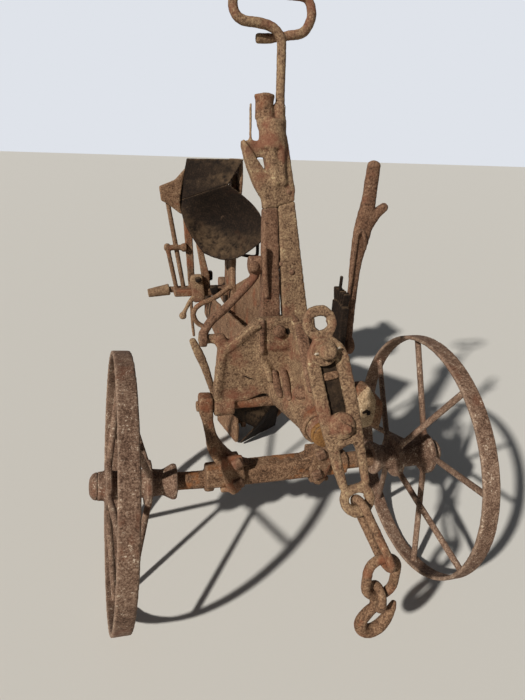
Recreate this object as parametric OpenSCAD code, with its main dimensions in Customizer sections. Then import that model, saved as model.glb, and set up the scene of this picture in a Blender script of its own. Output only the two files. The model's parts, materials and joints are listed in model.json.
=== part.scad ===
// Turn-over horse plough: two-wheeled fore-carriage, tilting head with depth crank, and a
// beam that turns half round in the head to bring either of its two bodies down.
// X points right seen from the front, Y back along the beam, Z up. The origin is on the
// ground, under the middle of the whole plough; inside the modules it is under the axle.

/* [Wheels] */
// Outer diameter of both wheels
wheel_d = 600; // [560:5:640]
// Distance between the wheel centres
track = 734; // [700:2:780]
// Width of the rim
rim_w = 39; // [34:1:44]
// Thickness of the rim
rim_t = 8; // [6:0.5:10]
// Diameter of a round spoke
spoke_d = 14; // [11:1:16]
// Number of spokes in a wheel
spoke_n = 8; // [8:2:10]
// Turn of the first spoke from upright
spoke_turn = 10; // [0:1:40]
// How far the right wheel stands turned on its axle, in degrees
right_turn = 6.5; // [0:0.5:40]
// Lean of the left wheel, top inwards, where its stub axle is bent
left_lean = 5.9; // [3:0.1:7]
// Toe of the left wheel, front outwards
left_toe = 3.6; // [1:0.1:5]

/* [Hubs and axle] */
// Diameter of the axle ends in the hubs
journal_d = 40; // [36:1:44]
// Clearance between journal and hub, all round
journal_gap = 0.08; // [0.04:0.01:0.1]
// Reach of a hub outwards from its wheel
hub_out = 45; // [38:1:50]
// Reach of a hub inwards from its wheel
hub_in = 127; // [118:1:132]
// Radius of the hub barrel
hub_r = 31; // [28:1:34]
// Radius of the two flanges that hold the spokes
flange_r = 52; // [46:1:58]
// Thickness of a flange
flange_t = 13; // [10:1:15]
// Side of the square axle bar
bar_side = 50; // [44:1:54]
// Length of the square axle bar
bar_len = 344; // [336:2:350]
// Chamfer along the axle bar
bar_chamfer = 8; // [5:1:11]

/* [Stop arms] */
// Distance of the left arm's clamp from the middle of the axle
arm_clamp_x = 115; // [112:1:118]
// Shift of the right arm's clamp towards the middle
right_shift = 14; // [8:1:16]
// Width of a clamp along the axle
clamp_w = 48; // [44:1:52]
// Offset of the head plate from the middle of the axle
head_x = 8; // [6:1:10]
// Distance of the arm eyes from the middle of the head plate
arm_eye_x = 178; // [176:1:182]
// Height of the arm eyes and the cross rod
rod_z = 487; // [480:1:494]
// Diameter of the cross rod
rod_d = 22; // [18:1:24]
// Thickness of an arm along the plough
arm_t = 34; // [30:1:36]

/* [Head] */
// Offset of the beam plane from the middle of the axle
beam_x = 20; // [14:1:24]
// Front end of the turning nose, before the axle
nose_y = -220; // [-230:1:-214]
// Height of the nose centre
nose_z = 531; // [528:1:534]
// Slope of the beam down to the back, in degrees
beam_slope = 3.6; // [3.4:0.1:3.8]
// Diameter of the turning nose of the beam
nose_d = 34; // [32:1:36]
// Clearance of the nose in its barrel, all round
nose_gap = 0.08; // [0.04:0.01:0.1]
// Wall of the barrel at the nose end
barrel_wall = 8; // [7:1:9]
// Thickness of the head plate
head_t = 20; // [16:1:24]
// Half width of the head plate at its foot
head_foot_w = 163; // [160:1:164]
// Half width of the head plate at its shoulders
head_top_w = 154; // [150:1:158]
// Height of the shoulders above the ground
shoulder_z = 622; // [614:1:630]
// Radius of the bosses on the cross rod
boss_r = 24; // [21:1:27]

/* [Column and crank] */
// Lean of the column to the back, in degrees
column_lean = 8; // [7:0.5:9]
// Height of the foot of the two legs above the ground
column_z = 620; // [616:1:624]
// Length of the two legs
leg_len = 286; // [280:1:292]
// Thickness of a leg along the plough
leg_t = 24; // [20:1:28]
// Radius of the guide tube beside the crank
tube_r = 17; // [15:1:19]
// Radius of the crank's bar
crank_r = 8.5; // [7:0.5:9.5]
// Width of the crank's loop
loop_w = 148; // [140:2:156]
// Height of the crank's loop
loop_h = 76; // [70:2:84]

/* [Draft gear] */
// Thickness of the slotted draft plate
plate_t = 14; // [12:1:16]
// Lean of the draft plate to the back at its top, in degrees
plate_lean = 22; // [20:0.5:24]
// Slant of the draft plate to the side, in degrees
plate_slant = 11; // [10:0.5:12]
// Hole of the top eye
eye_hole_d = 26; // [22:1:27]
// Hole at the foot of the draft plate
foot_hole_d = 25; // [24:0.5:26]
// Thickness of the bar of the link
link_d = 15; // [13:1:16]
// Thickness of the bar of the ring
ring_d = 17; // [16:0.5:18]
// Thickness of the shank of the hook
hook_d = 20; // [18:1:22]

/* [Beam and bodies] */
// Thickness of the beam
beam_t = 28; // [24:1:32]
// Height of the beam
beam_h = 72; // [66:1:78]
// Length of the beam behind its nose
beam_len = 1190; // [1160:5:1230]
// Distance from the beam's axis to each sole
sole_h = 471; // [470:0.5:472]
// Distance of the share points behind the nose
point_y = 780; // [774:1:786]
// Distance of the heels behind the nose
heel_y = 970; // [960:1:976]
// Thickness of a mouldboard
board_t = 8; // [6:1:10]
// Thickness of a share
share_t = 10; // [8:1:12]
// Thickness of a landside plate
side_t = 12; // [10:1:14]
// Splay of the lower landside off the line of the beam, in degrees
lower_splay = 12; // [10:1:14]
// Width of a standard along the beam
standard_w = 58; // [50:1:64]
// Thickness of a standard
standard_t = 16; // [14:1:20]
// Diameter of the brace rods of a body
brace_d = 14; // [12:1:16]
// Half width of the rear handle bar
handle_half = 268; // [256:2:280]

/* [Tilt lever] */
// Distance of the lever before the axle
lever_y = -60; // [-64:1:-56]
// Distance of the lever to the right of the beam plane
lever_x = 98; // [94:1:102]
// Height of the lever's pivot
lever_z = 640; // [636:1:644]
// Length of the lever above its pivot
lever_len = 368; // [356:2:380]
// Diameter of the lever's pivot
lever_pin_d = 16; // [14:1:18]

/* [Hidden] */
$fn = 64;
// The middle of the plough's whole length, behind the axle
middle_y = 286;
wheel_r = wheel_d / 2;
left_z = wheel_r * cos(left_lean) + rim_w / 2 * sin(left_lean);
journal_r = journal_d / 2;
bore_r = journal_r + journal_gap;
nose_r = nose_d / 2;
barrel_bore_r = nose_r + nose_gap;
barrel_r = barrel_bore_r + barrel_wall;
// How far the side brace's pin is above the head's shoulder
brace_pin_up = 20;
rust = "#6b4431";
rust_light = "#8a6a4c";
rust_dark = "#3b2a22";

// Puts the origin on the ground under the middle of the plough; the modules use the axle's middle
module placed() {
    translate([0, -middle_y, 0])
        children();
}

// Unit vector of v
function unit(v) = v / norm(v);

// Direction of an open path at point i
function heading(pts, i) = unit(pts[min(i + 1, len(pts) - 1)] - pts[max(i - 1, 0)]);

// Smooth curve through points: n steps in each span
function curve(pts, n) = [
    for (i = [0 : len(pts) - 2], k = [0 : n - 1])
        let (p0 = pts[max(i - 1, 0)], p1 = pts[i], p2 = pts[i + 1],
             p3 = pts[min(i + 2, len(pts) - 1)], t = k / n)
            0.5 * (2 * p1 + (p2 - p0) * t + (2 * p0 - 5 * p1 + 4 * p2 - p3) * t * t
                + (3 * p1 - p0 - 3 * p2 + p3) * t * t * t),
    pts[len(pts) - 1]
];

// Outline of a flat strip: centre points and the width at each
function strip(pts, w) = concat(
    [for (i = [0 : len(pts) - 1]) let (h = heading(pts, i)) pts[i] + [-h[1], h[0]] * w[i] / 2],
    [for (i = [len(pts) - 1 : -1 : 0]) let (h = heading(pts, i)) pts[i] - [-h[1], h[0]] * w[i] / 2]
);

// Round bar along a flat path: path points, plane normal, radius at each point
module bent_bar(pts, normal, r, sides = 12) {
    n = len(pts);
    points = [
        for (i = [0 : n - 1], k = [0 : sides - 1])
            let (s = cross(normal, heading(pts, i)), a = 360 * k / sides)
                pts[i] + r[i] * (cos(a) * normal + sin(a) * s)
    ];
    sides_q = [
        for (i = [0 : n - 2], k = [0 : sides - 1])
            let (m = (k + 1) % sides)
                [i * sides + k, i * sides + m, (i + 1) * sides + m, (i + 1) * sides + k]
    ];
    first = [for (k = [sides - 1 : -1 : 0]) k];
    last = [for (k = [0 : sides - 1]) (n - 1) * sides + k];
    polyhedron(points, concat(sides_q, [first, last]), convexity = 6);
}

// Straight round bar between two points
module round_bar(a, b, r) {
    d = b - a;
    translate(a)
        rotate([0, acos(d[2] / norm(d)), atan2(d[1], d[0])])
            cylinder(h = norm(d), r = r);
}

// Thick sheet over a grid of points: rows of equal length, thickness along one vector
module thick_sheet(rows, thickness) {
    nr = len(rows);
    nc = len(rows[0]);
    front = [for (row = rows, p = row) p];
    back = [for (p = front) p + thickness];
    m = nr * nc;
    f1 = [
        for (i = [0 : nr - 2], j = [0 : nc - 2])
            [i * nc + j, i * nc + j + 1, (i + 1) * nc + j + 1, (i + 1) * nc + j]
    ];
    tri1 = [for (f = f1, k = [0, 1]) k == 0 ? [f[0], f[1], f[2]] : [f[0], f[2], f[3]]];
    tri2 = [for (f = tri1) [f[2] + m, f[1] + m, f[0] + m]];
    rim = concat(
        [for (j = [0 : nc - 2]) j],
        [for (i = [0 : nr - 2]) i * nc + nc - 1],
        [for (j = [nc - 1 : -1 : 1]) (nr - 1) * nc + j],
        [for (i = [nr - 1 : -1 : 1]) i * nc]
    );
    nrim = len(rim);
    wall = [
        for (k = [0 : nrim - 1], h = [0, 1])
            let (a = rim[k], b = rim[(k + 1) % nrim])
                h == 0 ? [b, a, a + m] : [b, a + m, b + m]
    ];
    polyhedron(concat(front, back), concat(tri1, tri2, wall), convexity = 6);
}

// Places a wheel-side piece: side -1 is the left wheel, whose stub axle is bent
module at_wheel(side) {
    if (side < 0)
        translate([-track / 2, 0, left_z])
            rotate([0, left_lean, left_toe])
                children();
    else
        translate([track / 2, 0, wheel_r])
            rotate([-right_turn, 0, 0])
                mirror([1, 0, 0])
                    children();
}

// Rim, spokes and hub in one; local X points inwards along the axle
module wheel() {
    rim_r = wheel_r - rim_t;
    spoke_root = flange_r - 6;
    outer_flange_x = -hub_out / 2;
    inner_flange_x = hub_in / 2;
    rotate([0, 90, 0]) {
        rotate_extrude($fn = 96)
            translate([rim_r, -rim_w / 2])
                square([rim_t, rim_w]);
        rotate_extrude()
            polygon([
                [bore_r, -hub_out], [hub_r, -hub_out], [hub_r, outer_flange_x - flange_t / 2],
                [flange_r, outer_flange_x - flange_t / 2], [flange_r, outer_flange_x + flange_t / 2],
                [hub_r, outer_flange_x + flange_t / 2], [hub_r, inner_flange_x - flange_t / 2],
                [flange_r, inner_flange_x - flange_t / 2], [flange_r, inner_flange_x + flange_t / 2],
                [hub_r, inner_flange_x + flange_t / 2], [hub_r - 3, hub_in - 30],
                [hub_r + 9, hub_in - 8], [hub_r + 9, hub_in], [bore_r, hub_in]
            ]);
    }
    for (i = [0 : spoke_n - 1]) {
        a = spoke_turn + 360 * i / spoke_n;
        root_x = i % 2 == 0 ? outer_flange_x : inner_flange_x;
        round_bar(
            [root_x, spoke_root * sin(a), spoke_root * cos(a)],
            [0, (rim_r + rim_t / 2) * sin(a), (rim_r + rim_t / 2) * cos(a)],
            spoke_d / 2
        );
    }
}

// Domed cap over the end of the axle
module hub_cap() {
    cap_h = 18;
    cap_wall = 7;
    rotate([0, 90, 0])
        rotate_extrude()
            polygon([
                [0, -hub_out - cap_h], [hub_r - 14, -hub_out - cap_h + 1.5],
                [hub_r - 5, -hub_out - cap_h + 7], [hub_r - 1, -hub_out - 4],
                [hub_r - 1, -hub_out], [bore_r, -hub_out], [bore_r, -hub_out - cap_h + cap_wall],
                [0, -hub_out - cap_h + cap_wall]
            ]);
}

// Square bar, round ends in the hubs and the thrust collars
module axle() {
    collar_w = 20;
    collar_r = 28;
    collar_from = hub_in + 70;
    stub_in = track / 2 - bar_len / 2 + 18;
    stub_out = hub_out + 4;
    c = bar_side / 2;
    k = c - bar_chamfer;
    color(rust) {
        translate([-bar_len / 2, 0, wheel_r])
            rotate([90, 0, 90])
                linear_extrude(bar_len)
                    polygon([
                        [-k, -c], [k, -c], [c, -k], [c, k], [k, c], [-k, c], [-c, k], [-c, -k]
                    ]);
        for (side = [-1, 1])
            at_wheel(side) {
                translate([-stub_out, 0, 0])
                    rotate([0, 90, 0])
                        cylinder(h = stub_out + stub_in, r = journal_r);
                translate([collar_from, 0, 0])
                    rotate([0, 90, 0])
                        cylinder(h = collar_w - 1, r = collar_r);
            }
    }
}

// Clamp round the axle bar with the forged arm that carries the cross rod
module stop_arm(side) {
    wall = 11;
    strap_t = 12;
    shift = side > 0 ? right_shift : 0;
    c = arm_clamp_x - shift;
    top = wheel_r + bar_side / 2;
    eye_x = arm_eye_x - head_x * (side < 0 ? 1 : -1) + (side < 0 ? 2 : 4);
    outer = curve([
        [eye_x + 15, rod_z - 10], [eye_x + 7, rod_z - 38], [eye_x - 2, rod_z - 88],
        [eye_x - 6, rod_z - 116], [c + clamp_w / 2, top - 2]
    ], 3);
    inner = curve([
        [c - 58, top - 1], [c - 34, top + 6], [c - 8, top + 24], [c + 17, top + 53],
        [c + 33, top + 86], [eye_x - 15, rod_z - 34]
    ], 4);
    stop_block = [
        [-6, 12], [17, 20], [46, -12], [50, -47], [46, -85], [19, -70], [5, -27], [-6, -22]
    ];
    pad = [[eye_x - 15, rod_z - 20], [eye_x - 15, rod_z + 24], [eye_x + 14, rod_z + 26], [eye_x + 15, rod_z]];
    strap = [
        [c + 25, top + 44], [c + 25, top + 14], [c + 19, top - 20], [c + 9, top - 50],
        [c - 1, top - 62], [c - 13, top - 59], [c - 25, top - 41], [c - 31, top - 18],
        [c - 23, top + 25], [c - 22, top + 44]
    ];
    mirror([side < 0 ? 1 : 0, 0, 0])
        difference() {
            union() {
                translate([c - clamp_w / 2, -bar_side / 2, wheel_r - bar_side / 2 - wall])
                    cube([clamp_w, bar_side + wall, bar_side + 2 * wall]);
                translate([0, arm_t / 2, 0])
                    rotate([90, 0, 0])
                        linear_extrude(arm_t)
                            polygon(concat(outer, inner, pad));
                translate([0, -bar_side / 2, 0])
                    rotate([90, 0, 0])
                        linear_extrude(strap_t)
                            polygon(strap);
                translate([c - 16, -bar_side / 2 - 1, top + 8])
                    cube([30, bar_side / 2 - arm_t / 2 + 12, 26]);
                if (side > 0)
                    translate([eye_x, -arm_t / 2 + 10, rod_z])
                        rotate([90, 0, 0])
                            linear_extrude(24)
                                polygon(stop_block);
            }
            translate([c - 2 * clamp_w, -bar_side / 2, wheel_r - bar_side / 2])
                cube([4 * clamp_w, bar_side, bar_side]);
            translate([eye_x - 40, 0, rod_z])
                rotate([0, 90, 0])
                    cylinder(h = 80, r = rod_d / 2 + 0.05);
        }
}

// Square nuts on the inner faces of both clamps
module clamp_bolts() {
    nut = 15;
    nut_t = 11;
    strap_t = 12;
    face = -bar_side / 2 - strap_t;
    bolts = [[-14, 0], [-9, 56]];
    color(rust_dark)
        for (side = [-1, 1], b = bolts)
            translate([side * (arm_clamp_x - (side > 0 ? right_shift : 0) + b[0]), face, wheel_r + b[1]])
                rotate([90, 8 - b[0], 0])
                    cylinder(h = nut_t, r = nut, $fn = 4);
}

// Round rod through the arm eyes and the head bosses
module cross_rod() {
    over = 22;
    color(rust)
        translate([head_x - arm_eye_x - over, 0, rod_z])
            rotate([0, 90, 0])
                cylinder(h = 2 * (arm_eye_x + over), r = rod_d / 2);
}

// Frame of the beam: origin at the nose, Y along the beam, turned about it
module beam_frame(turn = 0) {
    translate([beam_x, nose_y, nose_z])
        rotate([-beam_slope, 0, 0])
            rotate([0, turn, 0])
                children();
}

// Cast head: plate with thick edges, bosses on the cross rod and the barrel for the nose
module head_casting() {
    barrel_from = 14;
    barrel_len = 246;
    boss_w = 44;
    boss_x = arm_eye_x - 16 - boss_w;
    left = [
        [head_foot_w, rod_z - 8], [head_foot_w + 1, rod_z + 20], [head_top_w, shoulder_z],
        [head_top_w + 6, shoulder_z + brace_pin_up - 10], [head_top_w + 4, shoulder_z + brace_pin_up + 12],
        [head_top_w - 12, shoulder_z + brace_pin_up + 12], [head_top_w - 20, shoulder_z + brace_pin_up - 4],
        [117, shoulder_z + 22], [84, shoulder_z + 52],
        [73, shoulder_z + 64]
    ];
    right = [
        [head_foot_w, rod_z - 8], [head_foot_w - 8, rod_z + 30], [124, shoulder_z - 4],
        [112, shoulder_z + 10], [74, shoulder_z + 22], [54, shoulder_z + 38], [50, shoulder_z + 64]
    ];
    foot = [[head_foot_w - 50, rod_z - 2], [62, rod_z + 22]];
    plate = concat(
        [for (i = [len(foot) - 1 : -1 : 0]) foot[i]], right,
        [for (i = [len(left) - 1 : -1 : 0]) [-left[i][0], left[i][1]]],
        [for (f = foot) [-f[0], f[1]]]
    );
    window = [[86, 520], [112, 520], [104, 566], [86, 572]];
    edges = [
        [[-head_foot_w + 6, rod_z + 22], [-head_top_w + 7, shoulder_z - 6], [-117, shoulder_z + 15],
            [-84, shoulder_z + 44], [-74, shoulder_z + 58]],
        [[head_foot_w - 8, rod_z + 24], [head_foot_w - 38, shoulder_z - 20], [104, shoulder_z + 4],
            [70, shoulder_z + 14], [46, shoulder_z + 34]]
    ];
    edge_w = 14;
    edge_t = head_t + 20;
    color(rust_light)
        difference() {
            union() {
                translate([head_x, head_t / 2, 0])
                    rotate([90, 0, 0])
                        linear_extrude(head_t)
                            difference() {
                                polygon(plate);
                                polygon(window);
                            }
                for (edge = edges)
                    translate([head_x, head_t / 2, 0])
                        rotate([90, 0, 0])
                            linear_extrude(edge_t)
                                polygon(strip(edge, [for (e = edge) edge_w]));
                for (side = [-1, 1])
                    translate([head_x + side * boss_x - (side < 0 ? boss_w : 0), 0, rod_z])
                        rotate([0, 90, 0])
                            cylinder(h = boss_w, r = boss_r);
                beam_frame()
                    rotate([-90, 0, 0])
                        rotate_extrude()
                            polygon([
                                [0, barrel_from], [barrel_r, barrel_from], [barrel_r, 26],
                                [barrel_r + 7, 70], [barrel_r + 20, 160], [barrel_r + 32, barrel_len - 14],
                                [barrel_r + 32, barrel_len], [0, barrel_len]
                            ]);
                translate([beam_x + 11, 0, 0])
                    rotate([90, 0, -90])
                        linear_extrude(22)
                            polygon([
                                [0, shoulder_z + 62], [20, shoulder_z + 58], [150, nose_z + 40],
                                [150, nose_z], [0, nose_z]
                            ]);
                translate([head_x - head_top_w - 40, 6, shoulder_z + brace_pin_up])
                    rotate([0, 90, 0])
                        cylinder(h = 46, r = 10);
            }
            beam_frame()
                rotate([-90, 0, 0])
                    cylinder(h = barrel_len + 40, r = barrel_bore_r);
            translate([head_x - arm_eye_x - 30, 0, rod_z])
                rotate([0, 90, 0])
                    cylinder(h = 2 * arm_eye_x + 60, r = rod_d / 2 + 0.05);
        }
}

// Frame of the leaning column: origin between the feet of the legs
module column_frame() {
    translate([0, 0, column_z])
        rotate([-column_lean, 0, 0])
            children();
}

// Plate of leg thickness: its outline, and its front face
module leg(outline, front) {
    translate([0, front + leg_t, 0])
        rotate([90, 0, 0])
            linear_extrude(leg_t)
                polygon(outline);
}

// Half space in front of the back face of the head plate, to end the legs on it
module head_room() {
    translate([-300, -200 + head_t / 2, column_z - 100])
        cube([600, 200, 400]);
}

module left_leg() {
    color(rust_light)
        difference() {
            column_frame()
                leg([[-52, -4], [-8, -4], [-21, leg_len], [-50, leg_len - 3]], head_t / 2 - 6);
            head_room();
        }
}

module right_leg() {
    color(rust_light)
        difference() {
            column_frame()
                leg([[0, -4], [60, -4], [13, leg_len + 12], [-20, leg_len + 2]], head_t / 2 - 8);
            head_room();
        }
}

// Forked casting on top of the legs: horn, two bars and the boss of the crank
module column_head() {
    top = leg_len;
    horn = curve([
        [-30, top + 22], [-52, top + 48], [-70, top + 78], [-84, top + 106], [-92, top + 124]
    ], 3);
    horn_w = [for (i = [0 : len(horn) - 1]) 44 - 40 * i / (len(horn) - 1)];
    boss_z = top + 132;
    boss_h = 52;
    color(rust_light)
        column_frame()
            translate([0, head_t / 2 - 6, 0])
                difference() {
                    union() {
                        leg([
                            [-50, top - 3], [-21, top], [-20, top + 2], [13, top + 12], [14, top + 40],
                            [-4, top + 56], [-36, top + 48], [-52, top + 26]
                        ], 0);
                        leg(strip(horn, horn_w), 0);
                        leg(strip([[-28, top + 38], [-44, boss_z]], [20, 22]), 0);
                        leg(strip([[2, top + 40], [-16, boss_z]], [20, 22]), 0);
                        translate([-32, leg_t / 2, boss_z - 22])
                            cylinder(h = boss_h, r = 26);
                        translate([-84, leg_t / 2 - 3, boss_z - 38])
                            cube([40, 6, 30]);
                        translate([-76, leg_t / 2, boss_z - 12])
                            cylinder(h = 70, r = 3);
                    }
                    translate([-18, leg_t / 2, boss_z - 200])
                        cylinder(h = 400, r = crank_r + 0.2);
                }
}

// Capped tube that stands beside the crank
module guide_tube() {
    base = leg_len + 162;
    color(rust)
        column_frame()
            translate([-49, head_t / 2 - 6 + leg_t / 2, base]) {
                cylinder(h = 44, r = tube_r);
                translate([0, 0, 38])
                    cylinder(h = 6, r = tube_r + 2);
            }
}

// Bar bent into a loop, turned by hand to set the depth
module depth_crank() {
    foot = leg_len + 60;
    bend = leg_len + 298;
    left = -18 - 0.62 * loop_w;
    right = left + loop_w;
    top = bend + loop_h;
    path = curve([
        [-18, 0, foot], [-18, 0, bend - 40], [-20, 0, bend - 14], [-34, 0, bend + 2], [-60, 0, bend + 8],
        [left + 18, 0, bend + 10], [left + 3, 0, bend + 22], [left, 0, bend + 44],
        [left + 6, 0, top - 6], [left + 24, 0, top], [right - 24, 0, top], [right - 5, 0, top - 8],
        [right, 0, bend + 36], [right - 2, 0, bend + 18], [right - 16, 0, bend - 2],
        [right - 46, 4, bend - 8], [-30, 19, bend - 10], [-62, 20, bend - 12]
    ], 3);
    color(rust_light)
        column_frame()
            translate([0, head_t / 2 - 6 + leg_t / 2, 0]) {
                bent_bar(path, [0, 1, 0], [for (p = path) crank_r], 12);
                translate([-18, 0, leg_len + 162])
                    cylinder(h = 8, r = crank_r + 3);
            }
}

// Bent round brace from the left leg down to the shoulder of the head
module side_brace() {
    eye = [head_x - head_top_w - 30, 6, shoulder_z + brace_pin_up];
    knob = [-64, 42, 788];
    path = curve([
        knob, knob + [0, -2, -22], knob + [-20, -7, -46], knob + [-65, -22, -86], eye + [18, 6, 38],
        eye + [4, 2, 18], eye + [0, 0, 8]
    ], 5);
    color(rust)
        difference() {
            union() {
                bent_bar(path, unit([0.1, 1, 0.05]), [for (p = path) 9.4], 12);
                translate([-78, 42, 788])
                    rotate([0, 90, 0])
                        cylinder(h = 27, r = 17);
                translate(eye - [8, 0, 0])
                    rotate([0, 90, 0])
                        cylinder(h = 16, r = 16);
            }
            translate(eye - [30, 0, 0])
                rotate([0, 90, 0])
                    cylinder(h = 60, r = 10.05);
        }
}

// Upright toothed case for the lever's latch
module tilt_quadrant() {
    case_t = 14;
    color(rust_dark)
        translate([beam_x + lever_x - 34, lever_y, lever_z])
            difference() {
                union() {
                    translate([0, -28, -30])
                        cube([case_t, 56, 150]);
                    rotate([0, 90, 0])
                        cylinder(h = case_t, r = 30);
                    translate([0, 20, -60])
                        cube([case_t, 10, 72]);
                }
                for (i = [-3 : 3])
                    rotate([i * 5, 0, 0])
                        translate([-10, -3, 96])
                            cube([30, 6, 40]);
                translate([-20, 0, 0])
                    rotate([0, 90, 0])
                        cylinder(h = 60, r = lever_pin_d / 2 + 0.08);
            }
}

// Flat lever with a forked grip, on a pin through the quadrant
module lever_blade() {
    blade_t = 16;
    for (part = [
        [[[0, 0], [4, 110], [8, 250]], [14, 17, 26]],
        [[[8, 240], [12, 268], [16, 320], [20, lever_len]], [26, 30, 22, 24]],
        [[[12, 252], [32, 276], [46, 296]], [26, 22, 20]]
    ])
        translate([0, blade_t / 2, 0])
            rotate([90, 0, 0])
                linear_extrude(blade_t)
                    polygon(strip(part[0], part[1]));
}

module tilt_lever() {
    color(rust)
        translate([beam_x + lever_x, lever_y, lever_z]) {
            translate([-7, 0, 0])
                rotate([0, 90, 0])
                    cylinder(h = 14, r = 18);
            translate([-42, 0, 0])
                rotate([0, 90, 0])
                    cylinder(h = 42, r = lever_pin_d / 2);
            lever_blade();
        }
}

// Thin latch strip along the lever
module lever_latch() {
    color(rust_dark)
        translate([beam_x + lever_x, lever_y, lever_z])
            difference() {
                union() {
                    translate([-15, -4, 100])
                        cube([5, 8, 133]);
                    translate([-12, -4, 228])
                        cube([14, 8, 5]);
                    translate([-12, -4, 100])
                        cube([14, 8, 8]);
                }
                lever_blade();
            }
}

// Frame of the draft plate: Z up along it, Y behind it
module draft_frame() {
    translate([beam_x + 13, nose_y - 44, nose_z + 41])
        rotate([-plate_lean, -plate_slant, 0])
            children();
}

// Bracket round the barrel that the draft plate is bolted to
module draft_bracket() {
    ring_from = 30;
    ring_w = 26;
    back = 14;
    pad_top = 150;
    color(rust)
        difference() {
            union() {
                beam_frame()
                    translate([0, ring_from, 0])
                        rotate([-90, 0, 0])
                            cylinder(h = ring_w, r = barrel_r + 8);
                draft_frame()
                    translate([-15, plate_t / 2, -24])
                        cube([30, back, pad_top + 30]);
                draft_frame()
                    translate([-4, plate_t / 2, -20])
                        cube([36, 60, 44]);
                translate([beam_x + 14, 0, 0])
                    rotate([90, 0, -90])
                        linear_extrude(20)
                            polygon([
                                [250, nose_z + 38], [206, nose_z + 38],
                                [190, nose_z + 24], [166, nose_z + 24],
                                [166, nose_z + 48], [184, nose_z + 110], [210, nose_z + 110]
                            ]);
            }
            beam_frame()
                rotate([-90, 0, 0])
                    rotate_extrude()
                        polygon([
                            [0, 0], [barrel_r, 0], [barrel_r, 26], [barrel_r + 7, 70],
                            [barrel_r + 20, 160], [0, 160]
                        ]);
            draft_frame()
                translate([-60, -plate_t * 3 + plate_t / 2, -200])
                    cube([120, plate_t * 3, 500]);
        }
}

// Long plate with an eye at each end and two slots between its bars
eye_z = 191;
foot_z = -128;
module draft_plate() {
    outline = [
        [-26, -104], [-31, -60], [-36, 10], [-38, 60], [-38, 126], [-32, 146], [-17, 164],
        [17, 164], [32, 146], [38, 126], [38, 60], [36, 10], [31, -60], [27, -104]
    ];
    slots = [[-11, 26, 98], [-10, -102, 74]];
    slot_w = 22;
    color(rust_light)
        draft_frame()
            difference() {
                union() {
                    translate([0, plate_t / 2, 0])
                        rotate([90, 0, 0])
                            linear_extrude(plate_t)
                                polygon(outline);
                    translate([0, plate_t / 2, eye_z])
                        rotate([90, 0, 0])
                            cylinder(h = plate_t, r = 30);
                    translate([0, plate_t / 2, foot_z])
                        rotate([90, 0, 0])
                            cylinder(h = plate_t, r = 31);
                }
                translate([0, plate_t, eye_z])
                    rotate([90, 0, 0])
                        cylinder(h = 2 * plate_t, r = eye_hole_d / 2);
                translate([0, plate_t, foot_z])
                    rotate([90, 0, 0])
                        cylinder(h = 2 * plate_t, r = foot_hole_d / 2);
                for (s = slots)
                    translate([s[0], -plate_t, s[1]])
                        cube([slot_w, 2 * plate_t, s[2]]);
            }
}

// Two bolt heads that hold the draft plate on its bracket
module draft_bolts() {
    bolts = [[3, 0, 23, 12, 10], [0, 147, 27, 6, 16]];
    color(rust)
        draft_frame()
            for (b = bolts)
                translate([b[0], -plate_t / 2, b[1]])
                    rotate([90, 0, 0]) {
                        cylinder(h = b[3], r = b[2]);
                        cylinder(h = b[3] + 12, r = b[4], $fn = b[4] > 12 ? 64 : 6);
                    }
}

// Places the draft chain: origin in the foot hole of the draft plate, Z up
module chain_frame() {
    draft_frame()
        translate([0, 0, foot_z])
            rotate([plate_lean, 0, 0])
                rotate([0, plate_slant, 0])
                    children();
}

// Closed loop of round bar: its points and the normal of its plane
module bar_loop(loop, normal, r, sides = 12) {
    n = len(loop);
    points = [
        for (i = [0 : n - 1], k = [0 : sides - 1])
            let (h = unit(loop[(i + 1) % n] - loop[(i + n - 1) % n]), s = cross(normal, h),
                 a = 360 * k / sides)
                loop[i] + r * (cos(a) * normal + sin(a) * s)
    ];
    faces = [
        for (i = [0 : n - 1], k = [0 : sides - 1])
            let (j = (i + 1) % n, m = (k + 1) % sides)
                [i * sides + k, i * sides + m, j * sides + m, j * sides + k]
    ];
    polyhedron(points, faces, convexity = 8);
}

// Slot-shaped loop between two points, half its width r, in the plane of a and b and side
function slot_loop(a, b, side, r, n) = concat(
    [for (i = [0 : n]) let (t = 180 * i / n) b + r * (cos(t) * side + sin(t) * unit(b - a))],
    [for (i = [0 : n]) let (t = 180 * i / n) a - r * (cos(t) * side + sin(t) * unit(b - a))]
);

// Where the chain's pieces hang, in the chain frame
link_r = link_d / 2;
ring_r = ring_d / 2;
link_top = [0, 2.5, -1.1];
link_foot = [48, -64.2, -108.3];
link_half = 22;
link_along = unit(link_foot - link_top);
touch_gap = 3.6;
ring_half_w = 27.5;
ring_half_h = 45.5;
ring_top = link_foot - (ring_r + link_r + touch_gap) * link_along;
ring_mid = ring_top - [0, 0, ring_half_h];
ring_foot = ring_mid - [0, 0, ring_half_h];
hook_wire = 8;
hook_eye = 20;
hook_mid = ring_foot - [0, 0, hook_eye - hook_wire - ring_r - 0.5];

// Slot-shaped link that leans forward from the foot of the draft plate
module draft_link() {
    side = unit(cross(link_along, [1, 0, 0]));
    flat = cross(side, link_along);
    a = link_top + link_along * link_half;
    b = link_foot - link_along * link_half;
    color(rust)
        chain_frame()
            bar_loop(slot_loop(a, b, side, link_half, 9), flat, link_r, 12);
}

// Straight-sided ring that hangs in the foot of the link
module draft_ring() {
    reach = [0, 0, ring_half_h - ring_half_w];
    loop = slot_loop(ring_mid + reach, ring_mid - reach, [1, 0, 0], ring_half_w, 10);
    color(rust)
        chain_frame()
            bar_loop(loop, [0, 1, 0], ring_r, 12);
}

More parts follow.
